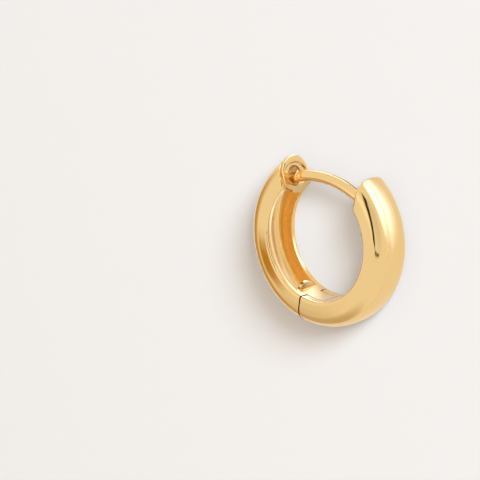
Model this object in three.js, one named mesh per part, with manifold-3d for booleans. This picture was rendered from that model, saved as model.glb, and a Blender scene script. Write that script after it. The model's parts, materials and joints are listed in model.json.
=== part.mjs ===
// A huggie hoop earring that lies on its side: two hinged halves of a domed band, closed by a post.
// Millimetres. The hoop's axis runs along Z, the hinge is on the -Y side and the post on the +Y side.
import * as THREE from "three";
import { mergeVertices } from "three/addons/utils/BufferGeometryUtils.js";
import Module from "manifold-3d";

const wasm = await Module();
wasm.setup();

// Band: flat sides and a domed outer face, on a round hoop
const INNER_RADIUS = 4.83;
const BAND_THICKNESS = 2.16;
const BAND_WIDTH = 3.37;
const SIDE_FLAT = 0.72; // straight stretch of each side, from the inner face outwards
const DOME_POWER = 2.6; // 2 makes an ellipse, more makes fuller shoulders
const EDGE_ROUND = 0.18; // rounding between the inner face and the sides

// Seam between the halves, straight near the inner face and round about the pin beyond it
const SEAM_ANGLE = -107; // degrees round the hoop from +X, at the inner face
const SEAM_LEAN = 8; // degrees that the seam leans off the radius, outer end to the front half
const SEAM_GAP = 0.11;

// Hinge: a tongue of the back half in a slot of the front half, on a pin with hidden ends
const HINGE_DEPTH = 1.4; // inner face to the pin's axis, along the seam
const HINGE_REACH = 1.0; // seam to the pin's axis
const PIN_DIAMETER = 0.5;
const PIN_CLEARANCE = 0.05; // all round the pin
const PIN_BITE = 0.3; // length of the pin inside each cheek
const TONGUE_WIDTH = 1.59;
const TONGUE_REACH = 0.87; // pin's axis to the end of the slot
const TONGUE_GAP = 0.06; // each side of the tongue and at its end

// Hollow of the back half, open towards the middle of the hoop
const SHELL_WALL = 0.45;
const END_WALL = 0.82; // solid stretch between the hollow and the seam, along the inner face
const BOSS_WIDTH = 1.5; // half-round boss at the end wall, on the hollow's side
const BOSS_RISE = 0.5; // above the inner face
const BOSS_FOOT = 0.6; // below the inner face, inside the end wall
const BOSS_THICKNESS = 0.3;
const BOSS_LEAN = 20; // degrees, towards the hollow

// Catch plate: a round plate across the open end of the hollow
const CATCH_ANGLE = 126.3; // degrees round the hoop to the plate's centre
const CATCH_DEPTH = 0.93; // inner face to the plate's centre
const CATCH_DIAMETER = 2.98;
const CATCH_THICKNESS = 0.26;
const CATCH_HOLE = 1.5;
const HOLE_DROP = 0.08; // hole's centre to the plate's centre
const RECESS_MOUTH = 1.9; // dished recess round the hole, in the face towards the post
const RECESS_FLOOR = 1.72;
const RECESS_LENGTH = 2.6; // mouth of the recess across the band
const RECESS_DEPTH = 0.12;

// Post: a bent wire with a groove in front of the catch plate and a rounded tip behind it
const POST_DIAMETER = 0.9;
const POST_DROP = 0.265; // post's axis to the plate's centre
const POST_LEAN = 2.6; // degrees between the post and the line it swings along at the plate
const POST_BEND = 8.0; // radius of the bent stretch
const POST_ARC = 5.91; // length of the bent stretch
const POST_TAIL = 2.3; // straight stretch that ends inside the front half
const POST_TIP = 0.5; // length of the tip behind the plate
const POST_ROUND = 0.36; // length of the tip's rounding
const GROOVE_DIAMETER = 0.74;
const GROOVE_AHEAD = 0.38; // plate's face to the groove
const GROOVE_LENGTH = 0.06;
const GROOVE_SLOPE = 0.05; // length of each shoulder of the groove

// Free end of the front half
const TIP_ANGLE = 39.5; // degrees round the hoop, at the inner face
const TIP_LEAN = 36.5; // degrees between the end face and the radius there
const TIP_ROUND = 0.3;

// Fineness of the facets
const BAND_STEP = 5; // degrees
const DOME_STEPS = 14;
const EDGE_STEPS = 3;
const ROUND_STEPS = 4;
const POST_SIDES = 16;
const POST_STEP = 0.5;
const CURVE_STEPS = 40; // sides of a full round cut

// Overlap of pieces that are joined, and reach of cutting solids past what they cut
const JOIN = 0.05;
const BEYOND = 3;
const HOLLOW_BEYOND = 1;

const OUTER_RADIUS = INNER_RADIUS + BAND_THICKNESS;
const HALF_WIDTH = BAND_WIDTH / 2;
const PIN_HALF = TONGUE_WIDTH / 2 + TONGUE_GAP + PIN_BITE;
const BORE_RADIUS = PIN_DIAMETER / 2 + PIN_CLEARANCE;

const rad = THREE.MathUtils.degToRad;
const polar = (radius, angle) => new THREE.Vector2(radius * Math.cos(angle), radius * Math.sin(angle));
const heading = (angle) => polar(1, angle);

// Seam's own directions: out along the seam from the inner face, and across it into the front half
const seamStart = polar(INNER_RADIUS, rad(SEAM_ANGLE));
const seamOut = heading(rad(SEAM_ANGLE + SEAM_LEAN));
const seamAcross = heading(rad(SEAM_ANGLE + SEAM_LEAN + 90));
const seamPoint = (out, across) =>
  seamStart.clone().addScaledVector(seamOut, out).addScaledVector(seamAcross, across);

const pin = seamPoint(HINGE_DEPTH, HINGE_REACH);
const pinOut = pin.clone().normalize();
const pinAcross = new THREE.Vector2(-pinOut.y, pinOut.x);
const hingePoint = (across, inwards) =>
  pin.clone().addScaledVector(pinAcross, across).addScaledVector(pinOut, -inwards);

// Catch plate, its hole and the point where the post's axis crosses it
const plateCentre = polar(INNER_RADIUS + CATCH_DEPTH, rad(CATCH_ANGLE));
const fromPin = plateCentre.clone().sub(pin).normalize();
const plateNormal = new THREE.Vector2(fromPin.y, -fromPin.x);
const plateTurn = Math.atan2(plateNormal.y, plateNormal.x);
const holeCentre = plateCentre.clone().addScaledVector(fromPin, -HOLE_DROP);
const postCrossing = plateCentre.clone().addScaledVector(fromPin, -POST_DROP);

// A closed three.js geometry as a solid, and the way back
function toSolid(geometry) {
  const bare = geometry.clone();
  bare.deleteAttribute("normal");
  bare.deleteAttribute("uv");
  const merged = mergeVertices(bare, 1e-4);
  return new wasm.Manifold(
    new wasm.Mesh({
      numProp: 3,
      vertProperties: new Float32Array(merged.attributes.position.array),
      triVerts: new Uint32Array(merged.index.array),
    }),
  );
}

function toGeometry(solid) {
  const mesh = solid.getMesh();
  const geometry = new THREE.BufferGeometry();
  geometry.setAttribute("position", new THREE.BufferAttribute(new Float32Array(mesh.vertProperties), 3));
  geometry.setIndex(new THREE.BufferAttribute(new Uint32Array(mesh.triVerts), 1));
  geometry.computeVertexNormals();
  return geometry;
}

// Skin over a row of closed loops with equally many points, with a fan across each end loop
function skin(loops) {
  const points = [];
  const faces = [];
  const count = loops[0].length;
  for (const loop of loops) for (const p of loop) points.push(p.x, p.y, p.z);
  for (let i = 0; i + 1 < loops.length; i++) {
    for (let j = 0; j < count; j++) {
      const a = i * count + j;
      const b = i * count + ((j + 1) % count);
      faces.push(a, b, b + count, a, b + count, a + count);
    }
  }
  const ends = [
    [0, true],
    [loops.length - 1, false],
  ];
  for (const [row, first] of ends) {
    const middle = points.length / 3;
    const centre = new THREE.Vector3();
    for (const p of loops[row]) centre.addScaledVector(p, 1 / count);
    points.push(centre.x, centre.y, centre.z);
    for (let j = 0; j < count; j++) {
      const a = row * count + j;
      const b = row * count + ((j + 1) % count);
      if (first) faces.push(middle, b, a);
      else faces.push(middle, a, b);
    }
  }
  const geometry = new THREE.BufferGeometry();
  geometry.setAttribute("position", new THREE.Float32BufferAttribute(points, 3));
  geometry.setIndex(faces);
  return geometry;
}

// Prism along Z through a flat shape
function prism(shape, low, high) {
  const geometry = new THREE.ExtrudeGeometry(shape, {
    depth: high - low,
    bevelEnabled: false,
    curveSegments: CURVE_STEPS,
  });
  geometry.translate(0, 0, low);
  return toSolid(geometry);
}

// Round bar, straight or tapered, whose axis starts at a point and runs along a direction,
// and which may be stretched across the band
function bar(start, direction, length, radius, endRadius = radius, stretch = 1) {
  const geometry = new THREE.CylinderGeometry(endRadius, radius, length, CURVE_STEPS);
  geometry.scale(1, 1, stretch);
  geometry.translate(0, length / 2, 0);
  const turn = new THREE.Quaternion();
  turn.setFromUnitVectors(new THREE.Vector3(0, 1, 0), direction);
  geometry.applyQuaternion(turn);
  geometry.translate(start.x, start.y, start.z);
  return toSolid(geometry);
}

// Outline of the band's section, as radius (x) and height (y), smaller by an inset all round
function bandOutline(inset, inner = INNER_RADIUS + inset) {
  const half = HALF_WIDTH - inset;
  const shoulder = INNER_RADIUS + SIDE_FLAT;
  const rise = OUTER_RADIUS - inset - shoulder;
  const points = [];
  for (let i = 0; i <= EDGE_STEPS; i++) {
    const turn = (i / EDGE_STEPS) * (Math.PI / 2);
    const away = EDGE_ROUND * (1 - Math.sin(turn));
    points.push(new THREE.Vector2(inner + EDGE_ROUND * (1 - Math.cos(turn)), half - away));
  }
  for (let i = 0; i <= DOME_STEPS; i++) {
    const turn = (i / DOME_STEPS) * Math.PI;
    const across = Math.sign(Math.cos(turn)) * Math.abs(Math.cos(turn)) ** (2 / DOME_POWER);
    const up = Math.abs(Math.sin(turn)) ** (2 / DOME_POWER);
    points.push(new THREE.Vector2(shoulder + rise * up, half * across));
  }
  for (let i = EDGE_STEPS; i >= 0; i--) {
    const turn = (i / EDGE_STEPS) * (Math.PI / 2);
    const away = EDGE_ROUND * (1 - Math.sin(turn));
    points.push(new THREE.Vector2(inner + EDGE_ROUND * (1 - Math.cos(turn)), away - half));
  }
  return points;
}

// Flat end face: its outward direction, and how far out it lies from the hoop's axis
const tipTurn = rad(TIP_ANGLE + TIP_LEAN + 90);
const tipFace = {
  turn: tipTurn,
  offset: polar(INNER_RADIUS, rad(TIP_ANGLE)).dot(heading(tipTurn)),
  sense: 1,
};
const shellFace = {
  turn: plateTurn,
  offset: plateCentre.dot(plateNormal) - CATCH_THICKNESS / 2 + JOIN,
  sense: -1,
};

// Angle round the hoop at which a circle about its axis meets a face, or a plane behind it
function faceAngle(face, radius, behind = 0) {
  const span = Math.acos((face.offset - behind) / radius);
  const angle = face.turn - face.sense * span;
  return face.sense < 0 ? angle - 2 * Math.PI : angle;
}

// Sweep of the band's section from a radial plane to an end face, leaning into the face
function sweepBand(startAngle, face, { inset = 0, inner, round = 0 } = {}) {
  const loops = [];
  const lastAngle = faceAngle(face, INNER_RADIUS, round);
  const steps = Math.ceil(Math.abs(lastAngle - startAngle) / rad(BAND_STEP));
  const place = (point, angle) =>
    new THREE.Vector3(point.x * Math.cos(angle), point.x * Math.sin(angle), point.y);
  const outline = bandOutline(inset, inner);
  for (let i = 0; i <= steps; i++) {
    const share = i / steps;
    const lean = THREE.MathUtils.smoothstep(share, 0.5, 1);
    const base = THREE.MathUtils.lerp(startAngle, lastAngle, share);
    loops.push(
      outline.map((p) => place(p, base + lean * (faceAngle(face, p.x, round) - lastAngle))),
    );
  }
  for (let i = 1; round > 0 && i <= ROUND_STEPS; i++) {
    const turn = (i / ROUND_STEPS) * (Math.PI / 2);
    const behind = round * (1 - Math.sin(turn));
    const rounded = bandOutline(inset + round * (1 - Math.cos(turn)));
    loops.push(rounded.map((p) => place(p, faceAngle(face, p.x, behind))));
  }
  if (face.sense < 0) loops.reverse();
  return toSolid(skin(loops));
}

// Everything on one side of the seam: side 1 is the front half's, -1 the back half's
function seamSide(side, shift) {
  const far = OUTER_RADIUS;
  const reach = HINGE_REACH + shift;
  const shape = new THREE.Shape();
  const moves = [seamPoint(-BEYOND, -shift), seamPoint(HINGE_DEPTH, -shift)];
  shape.moveTo(moves[0].x, moves[0].y);
  shape.lineTo(moves[1].x, moves[1].y);
  const outwards = rad(SEAM_ANGLE + SEAM_LEAN);
  shape.absarc(pin.x, pin.y, reach, outwards - Math.PI / 2, outwards, false);
  const corners = [
    seamPoint(HINGE_DEPTH + reach + BEYOND, HINGE_REACH),
    seamPoint(HINGE_DEPTH + reach + BEYOND, side * far),
    seamPoint(-BEYOND, side * far),
  ];
  for (const corner of corners) shape.lineTo(corner.x, corner.y);
  return prism(shape, -BAND_WIDTH, BAND_WIDTH);
}

// Upright slab whose end past the pin is straight above the pin and round about it below
function tongueShape(reach) {
  const shape = new THREE.Shape();
  const start = hingePoint(reach, HINGE_DEPTH + BEYOND);
  shape.moveTo(start.x, start.y);
  const corners = [
    hingePoint(-HINGE_REACH - END_WALL / 2, HINGE_DEPTH + BEYOND),
    hingePoint(-HINGE_REACH - END_WALL / 2, -reach),
  ];
  for (const corner of corners) shape.lineTo(corner.x, corner.y);
  const out = Math.atan2(pinOut.y, pinOut.x);
  shape.absarc(pin.x, pin.y, reach, out, out + Math.PI / 2, false);
  return shape;
}

const flatDirection = (v) => new THREE.Vector3(v.x, v.y, 0);
const atHeight = (v, z) => new THREE.Vector3(v.x, v.y, z);
const UP = new THREE.Vector3(0, 0, 1);

// Post
const postStart = plateTurn + rad(POST_LEAN);
const bendCentre = postCrossing
  .clone()
  .addScaledVector(heading(postStart + Math.PI / 2), -POST_BEND);
function postAt(along) {
  const turn = postStart - Math.min(along, POST_ARC) / POST_BEND;
  const point = bendCentre.clone().addScaledVector(heading(turn + Math.PI / 2), POST_BEND);
  point.addScaledVector(heading(turn), Math.max(along - POST_ARC, 0));
  return { point, turn };
}

function postProfile() {
  const full = POST_DIAMETER / 2;
  const groove = GROOVE_DIAMETER / 2;
  const end = -CATCH_THICKNESS / 2 - POST_TIP;
  const first = CATCH_THICKNESS / 2 + GROOVE_AHEAD;
  const last = first + GROOVE_LENGTH;
  const rows = [];
  for (let i = 0; i <= ROUND_STEPS; i++) {
    const turn = ((i + 0.5) / (ROUND_STEPS + 0.5)) * (Math.PI / 2);
    rows.push({ along: end + POST_ROUND * (1 - Math.cos(turn)), radius: full * Math.sin(turn) });
  }
  rows.push({ along: first - GROOVE_SLOPE, radius: full });
  rows.push({ along: first, radius: groove });
  rows.push({ along: last, radius: groove });
  rows.push({ along: last + GROOVE_SLOPE, radius: full });
  const rest = POST_ARC + POST_TAIL - last - GROOVE_SLOPE;
  const steps = Math.ceil(rest / POST_STEP);
  for (let i = 1; i <= steps; i++) {
    rows.push({ along: last + GROOVE_SLOPE + (rest * i) / steps, radius: full });
  }
  return rows;
}

function makePost() {
  const loops = postProfile().map(({ along, radius }) => {
    const { point, turn } = postAt(along);
    const side = heading(turn + Math.PI / 2);
    const loop = [];
    for (let i = 0; i < POST_SIDES; i++) {
      const round = (i / POST_SIDES) * 2 * Math.PI;
      const across = radius * Math.cos(round);
      loop.push(atHeight(point.clone().addScaledVector(side, across), radius * Math.sin(round)));
    }
    return loop;
  });
  return toSolid(skin(loops));
}

function makeFrontHalf() {
  const slotHalf = TONGUE_WIDTH / 2 + TONGUE_GAP;
  const slot = new THREE.Shape();
  const corners = [
    hingePoint(TONGUE_REACH, HINGE_DEPTH + BEYOND),
    hingePoint(-HINGE_REACH - BEYOND, HINGE_DEPTH + BEYOND),
    hingePoint(-HINGE_REACH - BEYOND, -BEYOND),
    hingePoint(TONGUE_REACH, -BEYOND),
  ];
  slot.setFromPoints(corners);
  const boreHalf = PIN_HALF + PIN_CLEARANCE;
  return sweepBand(rad(SEAM_ANGLE) - SEAM_GAP, tipFace, { round: TIP_ROUND })
    .subtract(seamSide(-1, -SEAM_GAP / 2))
    .subtract(prism(slot, -slotHalf, slotHalf))
    .subtract(bar(atHeight(pin, -boreHalf), UP, 2 * boreHalf, BORE_RADIUS))
    .add(makePost());
}

function makeCatchPlate() {
  const normal = flatDirection(plateNormal);
  const start = atHeight(plateCentre, 0).addScaledVector(normal, -CATCH_THICKNESS / 2);
  return bar(start, normal, CATCH_THICKNESS, CATCH_DIAMETER / 2);
}

function makeCatchHole() {
  const normal = flatDirection(plateNormal);
  const start = atHeight(holeCentre, 0).addScaledVector(normal, -CATCH_THICKNESS);
  const floor = atHeight(plateCentre, 0);
  floor.addScaledVector(normal, CATCH_THICKNESS / 2 - RECESS_DEPTH);
  const past = RECESS_MOUTH - RECESS_FLOOR / 2;
  const stretch = RECESS_LENGTH / RECESS_MOUTH;
  return bar(start, normal, 2 * CATCH_THICKNESS, CATCH_HOLE / 2).add(
    bar(floor, normal, 2 * RECESS_DEPTH, RECESS_FLOOR / 2, past, stretch),
  );
}

// Half-round boss: its flat face is towards the front half, and it leans into the hollow
function makeBoss(wallAngle) {
  const half = BOSS_WIDTH / 2;
  const shape = new THREE.Shape();
  shape.moveTo(-half, -BOSS_FOOT);
  shape.lineTo(half, -BOSS_FOOT);
  shape.lineTo(half, 0);
  shape.absellipse(0, 0, half, BOSS_RISE, 0, Math.PI, false);
  const geometry = new THREE.ExtrudeGeometry(shape, {
    depth: BOSS_THICKNESS + JOIN,
    bevelEnabled: false,
    curveSegments: CURVE_STEPS / 2,
  });
  const rise = flatDirection(heading(wallAngle + Math.PI + rad(BOSS_LEAN)));
  const away = new THREE.Vector3().crossVectors(UP, rise);
  const start = atHeight(polar(INNER_RADIUS, wallAngle), 0).addScaledVector(away, -JOIN);
  geometry.applyMatrix4(new THREE.Matrix4().makeBasis(UP, rise, away).setPosition(start));
  return toSolid(geometry);
}

function makeBackHalf() {
  const wallAngle = rad(SEAM_ANGLE) - END_WALL / INNER_RADIUS;
  const pastShell = { ...shellFace, offset: shellFace.offset + CATCH_THICKNESS };
  const hollow = sweepBand(wallAngle, pastShell, {
    inset: SHELL_WALL,
    inner: INNER_RADIUS - HOLLOW_BEYOND,
  });
  const leaning = HINGE_DEPTH * Math.sin(rad(SEAM_LEAN));
  const pastTongue = Math.atan2(HINGE_REACH + TONGUE_REACH + leaning, INNER_RADIUS);
  const band = sweepBand(rad(SEAM_ANGLE) + pastTongue, shellFace);
  const tongueHalf = TONGUE_WIDTH / 2;
  const tongue = band.intersect(
    prism(tongueShape(TONGUE_REACH - TONGUE_GAP), -tongueHalf, tongueHalf),
  );
  return band
    .subtract(seamSide(1, SEAM_GAP / 2))
    .subtract(hollow)
    .add(makeBoss(wallAngle))
    .add(tongue)
    .add(makeCatchPlate())
    .subtract(makeCatchHole())
    .subtract(bar(atHeight(pin, -BAND_WIDTH), UP, 2 * BAND_WIDTH, BORE_RADIUS));
}

function makePin() {
  return bar(atHeight(pin, -PIN_HALF), UP, 2 * PIN_HALF, PIN_DIAMETER / 2);
}

// Materials
const gold = () => new THREE.MeshStandardMaterial({ color: 0xe2b35c, roughness: 0.12, metalness: 1 });
const pinGold = () => new THREE.MeshStandardMaterial({ color: 0xd9ab58, roughness: 0.25, metalness: 1 });

const earring = new THREE.Group();
const pieces = [
  { name: "front_half", solid: makeFrontHalf(), material: gold() },
  { name: "back_half", solid: makeBackHalf(), material: gold() },
  { name: "hinge_pin", solid: makePin(), material: pinGold() },
];
for (const { name, solid, material } of pieces) {
  const mesh = new THREE.Mesh(toGeometry(solid), material);
  mesh.name = name;
  earring.add(mesh);
}

// The origin is below the middle of the whole earring, on the surface that it lies on
const box = new THREE.Box3().setFromObject(earring);
const middle = box.getCenter(new THREE.Vector3());
earring.position.set(-middle.x, -middle.y, -box.min.z);

export default earring;
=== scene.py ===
"""Looks of the huggie hoop earring.

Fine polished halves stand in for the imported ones, on a pale floor in soft light.
"""

import json
import math

import bmesh
import bpy
from mathutils import Matrix, Vector


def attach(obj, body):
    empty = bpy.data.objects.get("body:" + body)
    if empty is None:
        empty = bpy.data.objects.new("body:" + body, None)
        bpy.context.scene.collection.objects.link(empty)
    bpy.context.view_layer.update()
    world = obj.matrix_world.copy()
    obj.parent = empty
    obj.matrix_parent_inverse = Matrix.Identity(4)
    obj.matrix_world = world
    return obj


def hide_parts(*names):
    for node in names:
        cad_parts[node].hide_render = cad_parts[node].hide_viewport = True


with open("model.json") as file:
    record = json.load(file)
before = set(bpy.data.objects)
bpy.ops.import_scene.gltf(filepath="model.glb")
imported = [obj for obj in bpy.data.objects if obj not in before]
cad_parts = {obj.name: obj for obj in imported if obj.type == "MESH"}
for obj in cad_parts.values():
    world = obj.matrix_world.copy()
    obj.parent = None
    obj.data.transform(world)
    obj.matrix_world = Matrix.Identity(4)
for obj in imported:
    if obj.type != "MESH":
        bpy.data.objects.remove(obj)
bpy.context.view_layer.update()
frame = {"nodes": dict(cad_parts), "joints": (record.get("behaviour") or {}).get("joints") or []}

MM = 0.001

# Sizes of the earring, in millimetres
INNER_RADIUS = 4.83
BAND_THICKNESS = 2.16
BAND_WIDTH = 3.37
SIDE_FLAT = 0.72
DOME_POWER = 2.6
EDGE_ROUND = 0.18
SEAM_ANGLE = math.radians(-107)
SEAM_LEAN = math.radians(8)
SEAM_GAP = 0.11
HINGE_DEPTH = 1.4
HINGE_REACH = 1.0
PIN_RADIUS = 0.25
PIN_CLEARANCE = 0.05
PIN_BITE = 0.3
TONGUE_WIDTH = 1.59
TONGUE_REACH = 0.87
TONGUE_GAP = 0.06
SHELL_WALL = 0.45
END_WALL = 0.82
BOSS_WIDTH = 1.5
BOSS_RISE = 0.5
BOSS_FOOT = 0.6
BOSS_THICKNESS = 0.3
BOSS_LEAN = math.radians(20)
CATCH_ANGLE = math.radians(126.3)
CATCH_DEPTH = 0.93
CATCH_RADIUS = 1.49
CATCH_THICKNESS = 0.26
CATCH_HOLE_RADIUS = 0.75
HOLE_DROP = 0.08
RECESS_MOUTH_RADIUS = 0.95
RECESS_FLOOR_RADIUS = 0.86
RECESS_STRETCH = 1.368
RECESS_DEPTH = 0.12
POST_RADIUS = 0.45
POST_DROP = 0.265
POST_LEAN = math.radians(2.6)
POST_BEND = 8.0
POST_ARC = 5.91
POST_TAIL = 2.3
POST_TIP = 0.5
POST_ROUND = 0.36
GROOVE_RADIUS = 0.37
GROOVE_AHEAD = 0.38
GROOVE_LENGTH = 0.06
GROOVE_SLOPE = 0.05
TIP_ANGLE = math.radians(39.5)
TIP_LEAN = math.radians(36.5)
TIP_ROUND = 0.3

# Worked softness of the edges
EDGE_BEVEL = 0.06
BEVEL_FROM = math.radians(40)
BEVEL_SEGMENTS = 3
PLATE_EDGE = 0.07
HOLE_EDGE = 0.025
BOSS_BEVEL = 0.07

# Finish: noise scales are per metre, heights in metres
GOLD_COLOR = (0.93, 0.66, 0.30)
GOLD_ROUGHNESS = 0.09
PIN_COLOR = (0.86, 0.60, 0.28)
PIN_ROUGHNESS = 0.2
SATIN_ROUGHNESS = 0.2
WORN_TINT = (1.0, 0.97, 0.9)
WEAR_SCALE = 260
WEAR_DETAIL = 3
WAVE_SCALE = 750
WAVE_DETAIL = 1
WAVE_HEIGHT = 7e-6
MARK_SCALE = 14000
MARK_DETAIL = 4
MARK_STRETCH = 14
MARK_HEIGHT = 5e-7
MARK_DULLNESS = (0.4, 1.6)
SHARP_FROM = math.radians(38)

# Fineness
SWEEP_STEP = math.radians(1.5)
DOME_STEPS = 18
MIDDLE_STEPS = 16
EDGE_STEPS = 5
SIDE_STEPS = 4
LIP_STEPS = 4
CAP_STEPS = 6
DEPTH_STEPS = 8
ROUND_STEPS = 8
POST_SIDES = 48
POST_TIP_STEPS = 12
POST_END_STEPS = 12
GROOVE_STEPS = 6
POST_STEPS = 90
POST_TIP_START = 0.02
PLATE_SIDES = 96
PLATE_EDGE_STEPS = 5
HOLE_EDGE_STEPS = 3
BOSS_SIDES = 48
BOSS_STEPS = 6
END_CAP_STEPS = 2

# Angles round the hoop where the sweeps of the halves are divided
FRONT_LOW = math.radians(-60)
FRONT_MIDDLE = 0.0
BACK_MIDDLE = math.radians(-180)

# Welding of points, smallest face and overlap of joined bodies, in millimetres
WELD_DISTANCE = 1e-4
THINNEST_FACE = 1e-5
JOIN = 0.05

# Reach of the satin past the hollow's walls, in millimetres, and past its end wall, in degrees
SATIN_MARGIN = 0.0125
SATIN_PAST_WALL = 1

OUTER_RADIUS = INNER_RADIUS + BAND_THICKNESS
HALF_WIDTH = BAND_WIDTH / 2
SHOULDER = INNER_RADIUS + SIDE_FLAT
TONGUE_HALF = TONGUE_WIDTH / 2
SLOT_HALF = TONGUE_HALF + TONGUE_GAP
HOLLOW_HALF = HALF_WIDTH - SHELL_WALL
BORE_RADIUS = PIN_RADIUS + PIN_CLEARANCE
SEAM_TURN = SEAM_ANGLE + SEAM_LEAN
END_WALL_ANGLE = SEAM_ANGLE - END_WALL / INNER_RADIUS
HOLLOW_RISE = OUTER_RADIUS - SHELL_WALL - SHOULDER


def polar(radius, angle):
    return Vector((radius * math.cos(angle), radius * math.sin(angle)))


def heading(angle):
    return polar(1.0, angle)


SEAM_FOOT = polar(INNER_RADIUS, SEAM_ANGLE) + HINGE_DEPTH * heading(SEAM_TURN)
SEAM_ACROSS = heading(SEAM_TURN + math.pi / 2)
PIN = SEAM_FOOT + HINGE_REACH * SEAM_ACROSS
PIN_DISTANCE = PIN.length
PIN_ANGLE = math.atan2(PIN.y, PIN.x)
PLATE_CENTRE = polar(INNER_RADIUS + CATCH_DEPTH, CATCH_ANGLE)
FROM_PIN = (PLATE_CENTRE - PIN).normalized()
PLATE_NORMAL = Vector((FROM_PIN.y, -FROM_PIN.x))
PLATE_TURN = math.atan2(PLATE_NORMAL.y, PLATE_NORMAL.x)
POST_CROSSING = PLATE_CENTRE - POST_DROP * FROM_PIN

# Middle of the hoop in the frame, from the hinge's axis
JOINT = {j["name"]: j for j in frame["joints"]}["clasp_hinge"]
HOOP = Vector(JOINT["pos_m"]) - MM * Vector((PIN.x, PIN.y, 0))


# Mesh building: patches of points are laid edge to edge and welded


class Body:
    """Patches of quads in millimetres about the middle of the hoop."""

    def __init__(self, name):
        self.name = name
        self.mesh = bmesh.new()

    def patch(self, grid, closed=False):
        """Quads over rows of points; a closed patch joins each row's ends."""
        rows = [[self.mesh.verts.new(p) for p in row] for row in grid]
        for low, high in zip(rows, rows[1:]):
            count = len(low)
            for j in range(count if closed else count - 1):
                k = (j + 1) % count
                self.mesh.faces.new((low[j], low[k], high[k], high[j]))

    def cap(self, loop, steps=CAP_STEPS):
        """Rings from a closed flat loop to its middle."""
        centre = sum((Vector(p) for p in loop), Vector()) / len(loop)
        shares = [i / steps for i in range(steps)]
        self.patch([[Vector(p).lerp(centre, s) for p in loop] for s in shares], closed=True)
        inner = [Vector(p).lerp(centre, shares[-1]) for p in loop]
        hub = self.mesh.verts.new(centre)
        ring = [self.mesh.verts.new(p) for p in inner]
        for j, vert in enumerate(ring):
            self.mesh.faces.new((vert, ring[(j + 1) % len(ring)], hub))

    def face(self, loop):
        self.mesh.faces.new([self.mesh.verts.new(p) for p in loop])

    def finish(self, bevel=0.0):
        """The welded body as an object, with its sharp edges rounded."""
        bmesh.ops.remove_doubles(self.mesh, verts=self.mesh.verts, dist=WELD_DISTANCE)
        bmesh.ops.dissolve_degenerate(self.mesh, dist=THINNEST_FACE, edges=self.mesh.edges)
        bmesh.ops.recalc_face_normals(self.mesh, faces=self.mesh.faces)
        data = bpy.data.meshes.new(self.name)
        self.mesh.to_mesh(data)
        self.mesh.free()
        body = bpy.data.objects.new(self.name, data)
        bpy.context.scene.collection.objects.link(body)
        if bevel > 0:
            rounding = body.modifiers.new("edges", "BEVEL")
            rounding.width = bevel
            rounding.segments = BEVEL_SEGMENTS
            rounding.limit_method = "ANGLE"
            rounding.angle_limit = BEVEL_FROM
            bake(body)
        return body


def bake(body):
    """Applies a body's modifiers."""
    shown = body.evaluated_get(bpy.context.evaluated_depsgraph_get())
    data = bpy.data.meshes.new_from_object(shown)
    old = body.data
    body.modifiers.clear()
    body.data = data
    bpy.data.meshes.remove(old)


def combine(body, other, operation):
    """Joins another body to a body, or cuts it away, and removes the other."""
    change = body.modifiers.new("combine", "BOOLEAN")
    change.solver = "EXACT"
    change.operation = operation
    change.object = other
    bake(body)
    data = other.data
    bpy.data.objects.remove(other)
    bpy.data.meshes.remove(data)


def place(radius, height, angle):
    return Vector((radius * math.cos(angle), radius * math.sin(angle), height))


# Outlines of the section, as (radius, height)


def arc_share(height, half):
    """Share of a quarter turn at which the dome's outline passes a height."""
    return math.acos((height / half) ** (DOME_POWER / 2)) / (math.pi / 2)


def dome_point(share, half, rise):
    """Point of the dome's outline: share 0 at its upper foot, 1 at its top."""
    turn = share * math.pi / 2
    across = math.cos(turn) ** (2 / DOME_POWER)
    up = math.sin(turn) ** (2 / DOME_POWER)
    return SHOULDER + rise * up, half * across


def dome_at(height, half, rise):
    return SHOULDER + rise * (1 - (abs(height) / half) ** DOME_POWER) ** (1 / DOME_POWER)


def spread(first, last, steps):
    return [first + (last - first) * i / steps for i in range(steps + 1)]


def mirrored(points):
    return [(radius, -height) for radius, height in reversed(points)]


def middle_heights(line, inset=0.0):
    """Heights of the points between two lines along the band."""
    scale = (HALF_WIDTH - inset) / HALF_WIDTH
    return [scale * h for h in spread(line, -line, MIDDLE_STEPS)]


def outer_arm(lip, line, inset=0.0):
    """From a line on the inner face, over the edge and the side, to a line on the dome."""
    scale = (HALF_WIDTH - inset) / HALF_WIDTH
    half = HALF_WIDTH - inset
    inner = INNER_RADIUS + inset
    rise = OUTER_RADIUS - inset - SHOULDER
    points = [(inner, h) for h in spread(lip * scale, half - EDGE_ROUND, LIP_STEPS)]
    for i in range(1, EDGE_STEPS + 1):
        turn = i / EDGE_STEPS * math.pi / 2
        away = EDGE_ROUND * (1 - math.sin(turn))
        points.append((inner + EDGE_ROUND * (1 - math.cos(turn)), half - away))
    points += [(r, half) for r in spread(inner + EDGE_ROUND, SHOULDER, SIDE_STEPS)[1:]]
    last = arc_share(line * scale, half)
    points += [dome_point(share, half, rise) for share in spread(0, last, DOME_STEPS)[1:]]
    return points


def dome_middle(line, inset=0.0):
    rise = OUTER_RADIUS - inset - SHOULDER
    return [(dome_at(h, HALF_WIDTH - inset, rise), h) for h in middle_heights(line, inset)]


def inner_middle(line, inset=0.0):
    return [(INNER_RADIUS + inset, h) for h in middle_heights(line, inset)]


def full_loop(line, inset=0.0):
    """The whole outline, once round, starting at a line on the inner face."""
    arm = outer_arm(line, line, inset)
    middle = dome_middle(line, inset)
    inner = list(reversed(inner_middle(line, inset)))
    return arm + middle[1:] + mirrored(arm)[1:] + inner[1:-1]


# Surfaces across the band, as the angle round the hoop at a radius


def radial(angle):
    return lambda radius: angle


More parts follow.
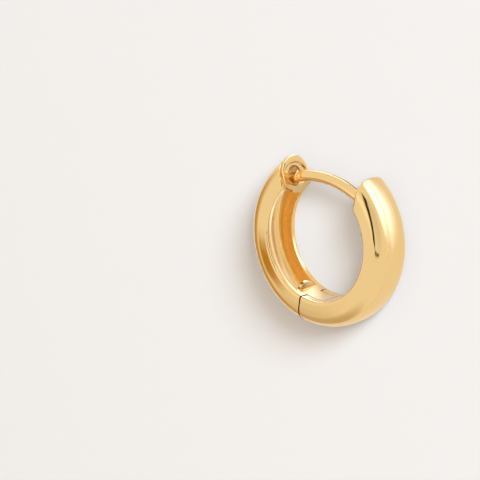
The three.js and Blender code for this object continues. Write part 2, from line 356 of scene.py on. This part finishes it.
def seam(shift):
    """Straight near the inner face, round about the pin beyond; a shift moves it to the back."""
    offset = INNER_RADIUS * math.sin(-SEAM_LEAN) - shift
    foot = (SEAM_FOOT - shift * SEAM_ACROSS).length

    def angle(radius):
        if radius < foot:
            return SEAM_TURN + math.asin(offset / radius)
        return PIN_ANGLE - about_pin(radius, HINGE_REACH + shift)

    return angle


def about_pin(radius, reach):
    """Angle from the pin to where a circle round the pin meets a circle round the hoop's axis."""
    ratio = (radius**2 + PIN_DISTANCE**2 - reach**2) / (2 * radius * PIN_DISTANCE)
    return math.acos(min(1.0, ratio))


def slot_end(radius):
    return PIN_ANGLE + math.asin(TONGUE_REACH / radius)


def tongue_end(radius):
    reach = TONGUE_REACH - TONGUE_GAP
    if radius < math.hypot(PIN_DISTANCE, reach):
        return PIN_ANGLE + math.asin(reach / radius)
    return PIN_ANGLE + about_pin(radius, reach)


def tip(behind=0.0):
    turn = TIP_ANGLE + TIP_LEAN + math.pi / 2
    offset = polar(INNER_RADIUS, TIP_ANGLE).dot(heading(turn)) - behind
    return lambda radius: turn - math.acos(offset / radius)


def shell_end(radius):
    offset = PLATE_CENTRE.dot(PLATE_NORMAL) - CATCH_THICKNESS / 2 + JOIN
    return PLATE_TURN + math.acos(offset / radius) - 2 * math.pi


def swept(points, surfaces):
    """Rows of points carried from surface to surface round the band."""
    rows = []
    for number, (first, last) in enumerate(zip(surfaces, surfaces[1:])):
        turns = [abs(last(r) - first(r)) for r in (INNER_RADIUS, OUTER_RADIUS)]
        steps = max(1, math.ceil(max(turns) / SWEEP_STEP))
        for i in range(0 if number == 0 else 1, steps + 1):
            share = i / steps
            rows.append(
                [place(r, h, first(r) + (last(r) - first(r)) * share) for r, h in points]
            )
    return rows


def across(lows, highs, surface, steps):
    """Rows on one surface between two outlines with equally many points."""
    rows = []
    for i in range(steps + 1):
        share = i / steps
        row = []
        for (r0, h0), (r1, h1) in zip(lows, highs):
            radius, height = r0 + (r1 - r0) * share, h0 + (h1 - h0) * share
            row.append(place(radius, height, surface(radius)))
        rows.append(row)
    return rows


def depth_line(low, high, height, steps):
    return [(r, height) for r in spread(low, high, steps)]


# Front half


def front_body():
    body = Body("front_body")
    line = SLOT_HALF
    face = seam(-SEAM_GAP / 2)
    arm = outer_arm(line, line)
    steps = len(arm) - 1
    top = dome_middle(line)[0][0]
    wall = depth_line(INNER_RADIUS, top, line, steps)
    for flip in (1, -1):
        side = [(r, flip * h) for r, h in arm]
        inner = [(r, flip * h) for r, h in wall]
        body.patch(swept(side, [face, slot_end]))
        body.patch(swept(inner, [face, slot_end]))
        body.patch(across(side, inner, face, CAP_STEPS))
    body.patch(across(inner_middle(line), dome_middle(line), slot_end, steps))
    ends = [slot_end, radial(FRONT_LOW), radial(FRONT_MIDDLE), tip(TIP_ROUND)]
    body.patch(swept(full_loop(line), ends), closed=True)
    loops = []
    for i in range(ROUND_STEPS + 1):
        turn = i / ROUND_STEPS * math.pi / 2
        surface = tip(TIP_ROUND * (1 - math.sin(turn)))
        outline = full_loop(line, TIP_ROUND * (1 - math.cos(turn)))
        loops.append([place(r, h, surface(r)) for r, h in outline])
    body.patch(loops, closed=True)
    body.cap(loops[-1])
    return body.finish(bevel=EDGE_BEVEL)


def post_at(along):
    start = PLATE_TURN + POST_LEAN
    centre = POST_CROSSING - POST_BEND * heading(start + math.pi / 2)
    turn = start - min(along, POST_ARC) / POST_BEND
    point = centre + POST_BEND * heading(turn + math.pi / 2)
    return point + max(along - POST_ARC, 0) * heading(turn), turn


def eased(share):
    return share * share * (3 - 2 * share)


def post_profile():
    """Rows of (along, radius), from the tip behind the plate to the end inside the front half."""
    end = -CATCH_THICKNESS / 2 - POST_TIP
    first = CATCH_THICKNESS / 2 + GROOVE_AHEAD
    last = first + GROOVE_LENGTH
    rows = []
    for turn in spread(POST_TIP_START, math.pi / 2, POST_TIP_STEPS):
        rows.append((end + POST_ROUND * (1 - math.cos(turn)), POST_RADIUS * math.sin(turn)))
    for along in spread(end + POST_ROUND, first - GROOVE_SLOPE, POST_END_STEPS)[1:-1]:
        rows.append((along, POST_RADIUS))
    for share in spread(0, 1, GROOVE_STEPS):
        radius = POST_RADIUS + (GROOVE_RADIUS - POST_RADIUS) * eased(share)
        rows.append((first - GROOVE_SLOPE * (1 - share), radius))
    for share in spread(0, 1, GROOVE_STEPS):
        radius = GROOVE_RADIUS + (POST_RADIUS - GROOVE_RADIUS) * eased(share)
        rows.append((last + GROOVE_SLOPE * share, radius))
    for along in spread(last + GROOVE_SLOPE, POST_ARC + POST_TAIL, POST_STEPS)[1:]:
        rows.append((along, POST_RADIUS))
    return rows


def post_body():
    body = Body("post_body")
    loops = []
    for along, radius in post_profile():
        point, turn = post_at(along)
        side = heading(turn + math.pi / 2)
        loop = []
        for i in range(POST_SIDES):
            around = i / POST_SIDES * 2 * math.pi
            flat = point + radius * math.cos(around) * side
            loop.append(Vector((flat.x, flat.y, radius * math.sin(around))))
        loops.append(loop)
    body.patch(loops, closed=True)
    body.cap(loops[0], steps=END_CAP_STEPS)
    body.cap(loops[-1], steps=END_CAP_STEPS)
    return body.finish()


def rings_body(name, centre, axis, side, rows, closed=True):
    """Body of rings round an axis, from rows of (along the axis, radius, shift, stretch)."""
    body = Body(name)
    up = axis.cross(side)
    turns = [i / PLATE_SIDES * 2 * math.pi for i in range(PLATE_SIDES)]
    loops = []
    for along, radius, shift, stretch in rows:
        middle = centre + along * axis + shift * side
        loop = []
        for turn in turns:
            around = math.cos(turn) * side + stretch * math.sin(turn) * up
            loop.append(middle + radius * around)
        loops.append(loop)
    if closed:
        loops.append(loops[0])
    body.patch(loops, closed=True)
    if not closed:
        body.cap(loops[0], steps=END_CAP_STEPS)
        body.cap(loops[-1], steps=END_CAP_STEPS)
    return body.finish()


def pin_bore(half_length, radius):
    rows = [(-half_length, radius, 0, 1), (half_length, radius, 0, 1)]
    centre = Vector((PIN.x, PIN.y, 0))
    return rings_body("bore", centre, Vector((0, 0, 1)), Vector((1, 0, 0)), rows, closed=False)


# Back half


def hollow_floor():
    """The hollow's floor across the band, at heights that the inner face shares."""
    last = arc_share(TONGUE_HALF, HOLLOW_HALF)
    side = [dome_point(share, HOLLOW_HALF, HOLLOW_RISE) for share in spread(0, last, DOME_STEPS)]
    middle = [(dome_at(h, HOLLOW_HALF, HOLLOW_RISE), h) for h in middle_heights(TONGUE_HALF)]
    return side + middle[1:] + mirrored(side)[1:]


def back_body():
    body = Body("back_body")
    line = TONGUE_HALF
    face = seam(SEAM_GAP / 2)
    end_wall = radial(END_WALL_ANGLE)
    floor = hollow_floor()
    inner_face = [(INNER_RADIUS, h) for _, h in floor]
    inner_side = inner_face[: DOME_STEPS + 1]
    arm = outer_arm(HOLLOW_HALF, line)
    long_arm = list(reversed(inner_side)) + arm[1:]
    steps = len(long_arm) - 1
    top = dome_middle(line)[0][0]
    wall = depth_line(INNER_RADIUS, top, line, steps)
    body.patch(across(inner_middle(line), dome_middle(line), tongue_end, steps))
    body.patch(swept(inner_middle(line), [tongue_end, face]))
    body.patch(swept(dome_middle(line), [tongue_end, face]))
    for flip in (1, -1):
        side = [(r, flip * h) for r, h in long_arm]
        inner = [(r, flip * h) for r, h in wall]
        body.patch(swept(inner, [tongue_end, face]))
        body.patch(across(side, inner, face, CAP_STEPS))
    outline = long_arm + dome_middle(line)[1:] + mirrored(long_arm)[1:]
    outline += inner_middle(-line)[1:-1]
    body.patch(swept(outline, [face, end_wall]), closed=True)
    body.patch(across(inner_face, floor, end_wall, DEPTH_STEPS))
    ends = [end_wall, radial(BACK_MIDDLE), shell_end]
    outside = arm + dome_middle(line)[1:] + mirrored(arm)[1:]
    body.patch(swept(outside, ends))
    side = depth_line(INNER_RADIUS, SHOULDER, HOLLOW_HALF, DEPTH_STEPS)
    inside = side + floor[1:] + mirrored(side)[1:]
    body.patch(swept(inside, ends))
    last = [place(r, h, shell_end(r)) for r, h in outside + inside[::-1][1:-1]]
    body.face(last)
    return body.finish(bevel=EDGE_BEVEL)


def quarter(steps):
    return [i / steps * math.pi / 2 for i in range(steps + 1)]


def plate_body():
    """Round catch plate with its recess and its hole, as rings about its own axis."""
    half = CATCH_THICKNESS / 2
    rows = []
    for turn in quarter(PLATE_EDGE_STEPS):
        away = PLATE_EDGE * (1 - math.cos(turn))
        rows.append((-half + PLATE_EDGE * (1 - math.sin(turn)), CATCH_RADIUS - away, 0, 1))
    rows.reverse()
    for turn in quarter(PLATE_EDGE_STEPS):
        away = PLATE_EDGE * (1 - math.cos(turn))
        rows.append((half - PLATE_EDGE * (1 - math.sin(turn)), CATCH_RADIUS - away, 0, 1))
    for turn in quarter(HOLE_EDGE_STEPS):
        radius = RECESS_MOUTH_RADIUS + HOLE_EDGE * (1 - math.sin(turn))
        rows.append((half - HOLE_EDGE * (1 - math.cos(turn)), radius, 0, RECESS_STRETCH))
    floor = half - RECESS_DEPTH
    rows.append((floor + HOLE_EDGE, RECESS_FLOOR_RADIUS, 0, RECESS_STRETCH))
    rows.append((floor, RECESS_FLOOR_RADIUS - HOLE_EDGE, 0, RECESS_STRETCH))
    for turn in quarter(HOLE_EDGE_STEPS):
        radius = CATCH_HOLE_RADIUS + HOLE_EDGE * (1 - math.sin(turn)) / 2
        rows.append((floor - HOLE_EDGE * (1 - math.cos(turn)), radius, -HOLE_DROP, 1))
    rows.append((-half + HOLE_EDGE, CATCH_HOLE_RADIUS, -HOLE_DROP, 1))
    rows.append((-half, CATCH_HOLE_RADIUS + HOLE_EDGE, -HOLE_DROP, 1))
    centre = Vector((PLATE_CENTRE.x, PLATE_CENTRE.y, 0))
    axis = Vector((PLATE_NORMAL.x, PLATE_NORMAL.y, 0))
    side = Vector((FROM_PIN.x, FROM_PIN.y, 0))
    return rings_body("plate_body", centre, axis, side, rows)


def boss_body():
    """Half-round boss on the end wall, leaning into the hollow."""
    body = Body("boss_body")
    inward = heading(END_WALL_ANGLE + math.pi + BOSS_LEAN)
    rise = Vector((inward.x, inward.y, 0))
    up = Vector((0, 0, 1))
    away = up.cross(rise)
    start = place(INNER_RADIUS, 0, END_WALL_ANGLE)
    half = BOSS_WIDTH / 2
    arch = [(half, h) for h in spread(-BOSS_FOOT, 0, BOSS_STEPS)[:-1]]
    for i in range(BOSS_SIDES + 1):
        turn = i / BOSS_SIDES * math.pi
        arch.append((half * math.cos(turn), BOSS_RISE * math.sin(turn)))
    arch += [(-half, h) for h in spread(0, -BOSS_FOOT, BOSS_STEPS)[1:]]
    loops = [
        [start + depth * away + side * up + height * rise for side, height in arch]
        for depth in spread(-JOIN, BOSS_THICKNESS, BOSS_STEPS)
    ]
    body.patch(loops, closed=True)
    body.face(loops[0])
    body.face(loops[-1])
    return body.finish(bevel=BOSS_BEVEL)


# Materials


def gold(name, color, roughness):
    """Gold plate with fine marks round the hoop, a soft waviness and slight wear."""
    material = bpy.data.materials.new(name)
    material.use_nodes = True
    nodes, links = material.node_tree.nodes, material.node_tree.links
    shader = nodes["Principled BSDF"]
    shader.inputs["Metallic"].default_value = 1.0
    spot = nodes.new("ShaderNodeTexCoord").outputs["Object"]

    def noise(where, scale, detail):
        made = nodes.new("ShaderNodeTexNoise")
        made.inputs["Scale"].default_value = scale
        made.inputs["Detail"].default_value = detail
        links.new(where, made.inputs["Vector"])
        return made.outputs["Fac"]

    def ramp(source, low, high):
        made = nodes.new("ShaderNodeMapRange")
        made.inputs["To Min"].default_value = low
        made.inputs["To Max"].default_value = high
        links.new(source, made.inputs["Value"])
        return made.outputs["Result"]

    def bump(height, distance, before=None):
        made = nodes.new("ShaderNodeBump")
        made.inputs["Distance"].default_value = distance
        links.new(height, made.inputs["Height"])
        if before is not None:
            links.new(before, made.inputs["Normal"])
        return made.outputs["Normal"]

    tint = nodes.new("ShaderNodeMixRGB")
    tint.inputs["Color1"].default_value = (*color, 1)
    tint.inputs["Color2"].default_value = (*[c * s for c, s in zip(color, WORN_TINT)], 1)
    links.new(noise(spot, WEAR_SCALE, WEAR_DETAIL), tint.inputs["Fac"])
    links.new(tint.outputs["Color"], shader.inputs["Base Color"])

    marks = noise(round_the_hoop(nodes, links, spot), MARK_SCALE, MARK_DETAIL)
    satin = nodes.new("ShaderNodeAttribute")
    satin.attribute_name = "satin"
    duller = nodes.new("ShaderNodeMath")
    duller.operation = "MULTIPLY_ADD"
    duller.inputs[1].default_value = SATIN_ROUGHNESS
    links.new(satin.outputs["Fac"], duller.inputs[0])
    least, most = [roughness * share for share in MARK_DULLNESS]
    links.new(ramp(marks, least, most), duller.inputs[2])
    links.new(duller.outputs[0], shader.inputs["Roughness"])
    waves = bump(noise(spot, WAVE_SCALE, WAVE_DETAIL), WAVE_HEIGHT)
    links.new(bump(marks, MARK_HEIGHT, waves), shader.inputs["Normal"])
    return material


def round_the_hoop(nodes, links, spot):
    """Coordinates that are short along the band, so that marks draw out round the hoop."""
    from_middle = nodes.new("ShaderNodeMapping")
    from_middle.vector_type = "POINT"
    from_middle.inputs["Location"].default_value = (-HOOP.x, -HOOP.y, -HOOP.z)
    links.new(spot, from_middle.inputs["Vector"])
    turned = nodes.new("ShaderNodeVectorRotate")
    turned.rotation_type = "Z_AXIS"
    turned.inputs["Angle"].default_value = -math.pi - SEAM_ANGLE
    links.new(from_middle.outputs["Vector"], turned.inputs["Vector"])
    parts = nodes.new("ShaderNodeSeparateXYZ")
    links.new(turned.outputs["Vector"], parts.inputs[0])
    angle = nodes.new("ShaderNodeMath")
    angle.operation = "ARCTAN2"
    links.new(parts.outputs["Y"], angle.inputs[0])
    links.new(parts.outputs["X"], angle.inputs[1])
    along = nodes.new("ShaderNodeMath")
    along.operation = "MULTIPLY"
    along.inputs[1].default_value = MM * OUTER_RADIUS / MARK_STRETCH
    links.new(angle.outputs[0], along.inputs[0])
    flat = nodes.new("ShaderNodeVectorMath")
    flat.operation = "MULTIPLY"
    flat.inputs[1].default_value = (1, 1, 0)
    links.new(turned.outputs["Vector"], flat.inputs[0])
    radius = nodes.new("ShaderNodeVectorMath")
    radius.operation = "LENGTH"
    links.new(flat.outputs["Vector"], radius.inputs[0])
    joined = nodes.new("ShaderNodeCombineXYZ")
    links.new(radius.outputs["Value"], joined.inputs["X"])
    links.new(along.outputs[0], joined.inputs["Y"])
    links.new(parts.outputs["Z"], joined.inputs["Z"])
    return joined.outputs["Vector"]


def floor_material():
    """Matt pale board without gloss."""
    material = bpy.data.materials.new("pale_floor")
    material.use_nodes = True
    shader = material.node_tree.nodes["Principled BSDF"]
    shader.inputs["Base Color"].default_value = (*FLOOR_COLOR, 1)
    shader.inputs["Roughness"].default_value = FLOOR_ROUGHNESS
    shader.inputs["Specular IOR Level"].default_value = 0.0
    return material


def mark_satin(body):
    """Marks the hollow, which is blasted rather than polished."""
    first = math.degrees(CATCH_ANGLE)
    last = math.degrees(END_WALL_ANGLE) + 360 + SATIN_PAST_WALL
    lip = INNER_RADIUS + 2 * EDGE_BEVEL
    mark = body.data.attributes.new("satin", "FLOAT", "POINT")
    for number, vertex in enumerate(body.data.vertices):
        point = vertex.co
        radius = math.hypot(point.x, point.y)
        angle = math.degrees(math.atan2(point.y, point.x)) % 360
        height = min(abs(point.z), HOLLOW_HALF)
        floor = dome_at(height, HOLLOW_HALF, HOLLOW_RISE)
        within = abs(point.z) < HOLLOW_HALF + SATIN_MARGIN and first < angle < last
        deep = lip < radius < floor + SATIN_MARGIN
        mark.data[number].value = 1.0 if within and deep else 0.0


def show(body, name, node, body_name, material):
    """Sets a finished body in the frame, in metres, in place of its CAD node."""
    body.data.transform(Matrix.Translation(HOOP) @ Matrix.Scale(MM, 4))
    body.name = name
    body.data.name = name
    body.data.materials.clear()
    body.data.materials.append(material)
    for polygon in body.data.polygons:
        polygon.use_smooth = True
    body.data.set_sharp_from_angle(angle=SHARP_FROM)
    weighted = body.modifiers.new("even shading", "WEIGHTED_NORMAL")
    weighted.keep_sharp = True
    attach(body, body_name)
    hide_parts(node)
    body.visible_diffuse = False


polished = gold("polished_gold", GOLD_COLOR, GOLD_ROUGHNESS)
pin_finish = gold("pin_gold", PIN_COLOR, PIN_ROUGHNESS)

front = front_body()
combine(front, post_body(), "UNION")
combine(front, pin_bore(SLOT_HALF + PIN_BITE + PIN_CLEARANCE, BORE_RADIUS), "DIFFERENCE")
show(front, "front_half_polished", "front_half", "front", polished)

back = back_body()
combine(back, boss_body(), "UNION")
combine(back, plate_body(), "UNION")
combine(back, pin_bore(BAND_WIDTH, BORE_RADIUS), "DIFFERENCE")
mark_satin(back)
show(back, "back_half_polished", "back_half", "back", polished)

pin_node = frame["nodes"]["hinge_pin"]
pin_node.data.materials.clear()
pin_node.data.materials.append(pin_finish)


# Floor, light and camera, in metres where nothing else is said
FLOOR_HALF = 2.0
FLOOR_COLOR = (0.88, 0.847, 0.824)
FLOOR_ROUGHNESS = 0.9


def flat_sheet(name, half_x, half_y):
    """A rectangle about its own middle, linked to the scene."""
    data = bpy.data.meshes.new(name)
    corners = [(-half_x, -half_y, 0), (half_x, -half_y, 0)]
    corners += [(half_x, half_y, 0), (-half_x, half_y, 0)]
    data.from_pydata(corners, [], [(0, 1, 2, 3)])
    sheet = bpy.data.objects.new(name, data)
    bpy.context.scene.collection.objects.link(sheet)
    return sheet


def make_floor():
    floor = flat_sheet("floor", FLOOR_HALF, FLOOR_HALF)
    floor.data.materials.append(floor_material())


STUDIO_COLOR = (0.92, 0.905, 0.885)

# Soft zones of the studio: direction, degrees within which it is full, degrees where it ends
STUDIO_ZONES = [
    {"towards": (0.40, 0.20, 0.89), "full": 5, "gone": 32, "color": (0.78, 0.765, 0.74)},
    {"towards": (-0.50, -0.83, 0.24), "full": 8, "gone": 42, "color": (0.60, 0.51, 0.40)},
    {"towards": (-0.95, -0.28, 0.12), "full": 10, "gone": 34, "color": (0.58, 0.36, 0.10)},
    {"towards": (-0.40, 0.05, 0.92), "full": 3, "gone": 16, "color": (1.15, 1.13, 1.1)},
]


def make_world():
    """Studio that the polish mirrors; the floor takes its light from the lamps."""
    world = bpy.data.worlds.new("studio")
    bpy.context.scene.world = world
    world.use_nodes = True
    world.cycles_visibility.diffuse = False
    nodes, links = world.node_tree.nodes, world.node_tree.links
    direction = nodes.new("ShaderNodeTexCoord").outputs["Generated"]
    before = None
    for zone in STUDIO_ZONES:
        towards = nodes.new("ShaderNodeVectorMath")
        towards.operation = "DOT_PRODUCT"
        towards.inputs[1].default_value = Vector(zone["towards"]).normalized()
        links.new(direction, towards.inputs[0])
        fade = nodes.new("ShaderNodeMapRange")
        fade.interpolation_type = "SMOOTHSTEP"
        fade.inputs["From Min"].default_value = math.cos(math.radians(zone["gone"]))
        fade.inputs["From Max"].default_value = math.cos(math.radians(zone["full"]))
        links.new(towards.outputs["Value"], fade.inputs["Value"])
        blend = nodes.new("ShaderNodeMixRGB")
        blend.inputs["Color1"].default_value = (*STUDIO_COLOR, 1)
        blend.inputs["Color2"].default_value = (*zone["color"], 1)
        links.new(fade.outputs["Result"], blend.inputs["Fac"])
        if before is not None:
            links.new(before, blend.inputs["Color1"])
        before = blend.outputs["Color"]
    links.new(before, nodes["Background"].inputs["Color"])


# Lamps: direction, size across, and the share of a white floor's light that each gives
# at the earring
LAMP_DISTANCE = 2.0
LAMPS = [
    {"name": "key", "towards": (0.72, 0.50, 0.46), "size": 0.80, "share": (0.37, 0.435, 0.51)},
    {"name": "fill", "towards": (0.62, 0.25, 0.74), "size": 0.80, "share": (0.225, 0.20, 0.175)},
    {"name": "top", "towards": (0.05, 0.0, 1.0), "size": 2.80, "share": (0.44, 0.40, 0.345)},
]


def make_lamp(name, towards, size, share):
    """Soft round lamp over the floor, which the polish doesn't mirror."""
    towards = Vector(towards).normalized()
    strongest = max(share)
    data = bpy.data.lights.new(name, "AREA")
    data.shape = "DISK"
    data.size = size
    data.color = [level / strongest for level in share]
    spread_out = 1 + (size / 2 / LAMP_DISTANCE) ** 2
    data.energy = strongest * (math.pi * LAMP_DISTANCE) ** 2 * spread_out / towards.z
    lamp = bpy.data.objects.new(name, data)
    bpy.context.scene.collection.objects.link(lamp)
    lamp.location = HOOP + LAMP_DISTANCE * towards
    lamp.rotation_mode = "QUATERNION"
    lamp.rotation_quaternion = (-towards).to_track_quat("-Z", "Y")
    lamp.visible_glossy = False
    lamp.visible_camera = False


def make_card(name, centre, along, facing, size, fade, color):
    """Card near the earring, in millimetres about the hoop, that only its polish mirrors."""
    half_x, half_y = size[0] / 2, size[1] / 2
    card = flat_sheet(name, half_x, half_y)
    facing = Vector(facing).normalized()
    along = (Vector(along) - Vector(along).dot(facing) * facing).normalized()
    turn = Matrix((along, facing.cross(along), facing)).transposed().to_4x4()
    card.matrix_world = Matrix.Translation(HOOP + MM * Vector(centre)) @ turn @ Matrix.Scale(MM, 4)
    card.data.materials.append(card_material(name, (half_x, half_y), fade, color))
    card.visible_camera = False
    card.visible_diffuse = False
    card.visible_transmission = False
    card.visible_shadow = False


def card_material(name, halves, fades, color):
    """Glow that fades softly towards the card's edges."""
    material = bpy.data.materials.new(name)
    material.use_nodes = True
    nodes, links = material.node_tree.nodes, material.node_tree.links
    nodes.remove(nodes["Principled BSDF"])
    local = nodes.new("ShaderNodeSeparateXYZ")
    links.new(nodes.new("ShaderNodeTexCoord").outputs["Object"], local.inputs[0])
    both = nodes.new("ShaderNodeMath")
    both.operation = "MULTIPLY"
    for number, (half, fade) in enumerate(zip(halves, fades)):
        away = nodes.new("ShaderNodeMath")
        away.operation = "ABSOLUTE"
        links.new(local.outputs[number], away.inputs[0])
        soft = nodes.new("ShaderNodeMapRange")
        soft.interpolation_type = "SMOOTHSTEP"
        soft.inputs["From Min"].default_value = half - fade
        soft.inputs["From Max"].default_value = half
        soft.inputs["To Min"].default_value = 1.0
        soft.inputs["To Max"].default_value = 0.0
        links.new(away.outputs[0], soft.inputs["Value"])
        links.new(soft.outputs["Result"], both.inputs[number])
    glow = nodes.new("ShaderNodeEmission")
    glow.inputs["Color"].default_value = (*color, 1)
    mix = nodes.new("ShaderNodeMixShader")
    links.new(both.outputs[0], mix.inputs["Fac"])
    links.new(nodes.new("ShaderNodeBsdfTransparent").outputs[0], mix.inputs[1])
    links.new(glow.outputs[0], mix.inputs[2])
    links.new(mix.outputs[0], nodes["Material Output"].inputs["Surface"])
    return material


# Cards, in millimetres about the middle of the hoop: size and fade are along the card and across
DARK = (0.04, 0.025, 0.012)
POST_DARK = (0.06, 0.035, 0.012)
CARDS = [
    {
        "name": "soft_panel",
        "centre": (9.2, 9.3, 1.8),
        "along": (0.48, -0.877, 0),
        "facing": (-0.557, -0.305, 0.773),
        "size": (21.0, 11.0),
        "fade": (8.5, 4.6),
        "color": (2.4, 2.5, 3.6),
    },
    {
        "name": "foot_panel",
        "centre": (7.95, 7.65, -1.6),
        "along": (0.48, -0.877, 0),
        "facing": (0, 0, 1),
        "size": (21.0, 6.7),
        "fade": (8.5, 2.6),
        "color": (1.8, 1.88, 2.7),
    },
    {
        "name": "dark_edge",
        "centre": (5.05, 6.0, 21.5),
        "along": (0.39, 0.92, 0),
        "facing": (0, 0, -1),
        "size": (21.5, 5.0),
        "fade": (1.0, 1.0),
        "color": DARK,
    },
    {
        "name": "dark_hook",
        "centre": (8.3, -5.3, 21.6),
        "along": (1, -0.1, 0),
        "facing": (0, 0, -1),
        "size": (15.0, 1.5),
        "fade": (2.0, 0.5),
        "color": DARK,
    },
    {
        "name": "warm_card",
        "centre": (-15.8, -6.2, 12.8),
        "along": (1, 0, 0),
        "facing": (0, 0, -1),
        "size": (9.0, 6.6),
        "fade": (3.4, 2.6),
        "color": (0.50, 0.27, 0.035),
    },
    {
        "name": "grey_card",
        "centre": (-12.0, -11.5, 12.9),
        "along": (1, 0, 0),
        "facing": (0, 0, -1),
        "size": (14.0, 9.0),
        "fade": (5.0, 4.0),
        "color": (0.74, 0.70, 0.63),
    },
    {
        "name": "hinge_glow",
        "centre": (-2.53, -2.12, -1.62),
        "along": (0.643, -0.766, 0),
        "facing": (0, 0, 1),
        "size": (4.4, 2.5),
        "fade": (1.4, 0.9),
        "color": (1.6, 1.7, 2.3),
    },
    {
        "name": "hollow_glow",
        "centre": (-3.7, -1.9, -1.6),
        "along": (0.37, -0.93, 0),
        "facing": (0, 0, 1),
        "size": (3.0, 1.3),
        "fade": (1.2, 0.4),
        "color": (2.6, 3.5, 5.2),
    },
    {
        "name": "post_glow",
        "centre": (-1.5, 7.45, -1.62),
        "along": (1, 0, 0),
        "facing": (0, 0, 1),
        "size": (8.0, 2.1),
        "fade": (2.0, 0.6),
        "color": (2.4, 2.5, 3.4),
    },
    {
        "name": "post_dark",
        "centre": (0.85, 5.75, -1.6),
        "along": (0.94, -0.34, 0),
        "facing": (0, 0, 1),
        "size": (4.2, 1.2),
        "fade": (0.5, 0.3),
        "color": POST_DARK,
    },
]


# The photograph's view: directions of its right and its up in the frame
VIEW_RIGHT = Vector((0.759, -0.001, -0.65))
VIEW_UP = Vector((-0.144, 0.975, -0.17))
VIEW_DISTANCE = 0.1932
FOCAL_PIXELS = 2484
IMAGE_PIXELS = 480
HOOP_PIXEL = (327.8, 237.7)
SENSOR = 36
CLIP_START = 0.01


def make_camera():
    right = VIEW_RIGHT.normalized()
    up = (VIEW_UP - VIEW_UP.dot(right) * right).normalized()
    backward = right.cross(up)
    axes = Matrix((right, up, backward)).transposed()
    middle = IMAGE_PIXELS / 2
    yaw = math.atan((HOOP_PIXEL[0] - middle) / FOCAL_PIXELS)
    pitch = math.atan((HOOP_PIXEL[1] - middle) / FOCAL_PIXELS)
    turned = axes @ Matrix.Rotation(yaw, 3, "Y") @ Matrix.Rotation(pitch, 3, "X")
    data = bpy.data.cameras.new("camera")
    data.sensor_width = SENSOR
    data.lens = FOCAL_PIXELS / IMAGE_PIXELS * SENSOR
    data.clip_start = CLIP_START
    camera = bpy.data.objects.new("camera", data)
    bpy.context.scene.collection.objects.link(camera)
    camera.location = HOOP + VIEW_DISTANCE * backward
    camera.rotation_mode = "QUATERNION"
    camera.rotation_quaternion = turned.to_quaternion()
    bpy.context.scene.camera = camera


make_floor()
make_world()
for row in LAMPS:
    make_lamp(**row)
for row in CARDS:
    make_card(**row)
make_camera()
bpy.context.scene.view_settings.view_transform = "Standard"
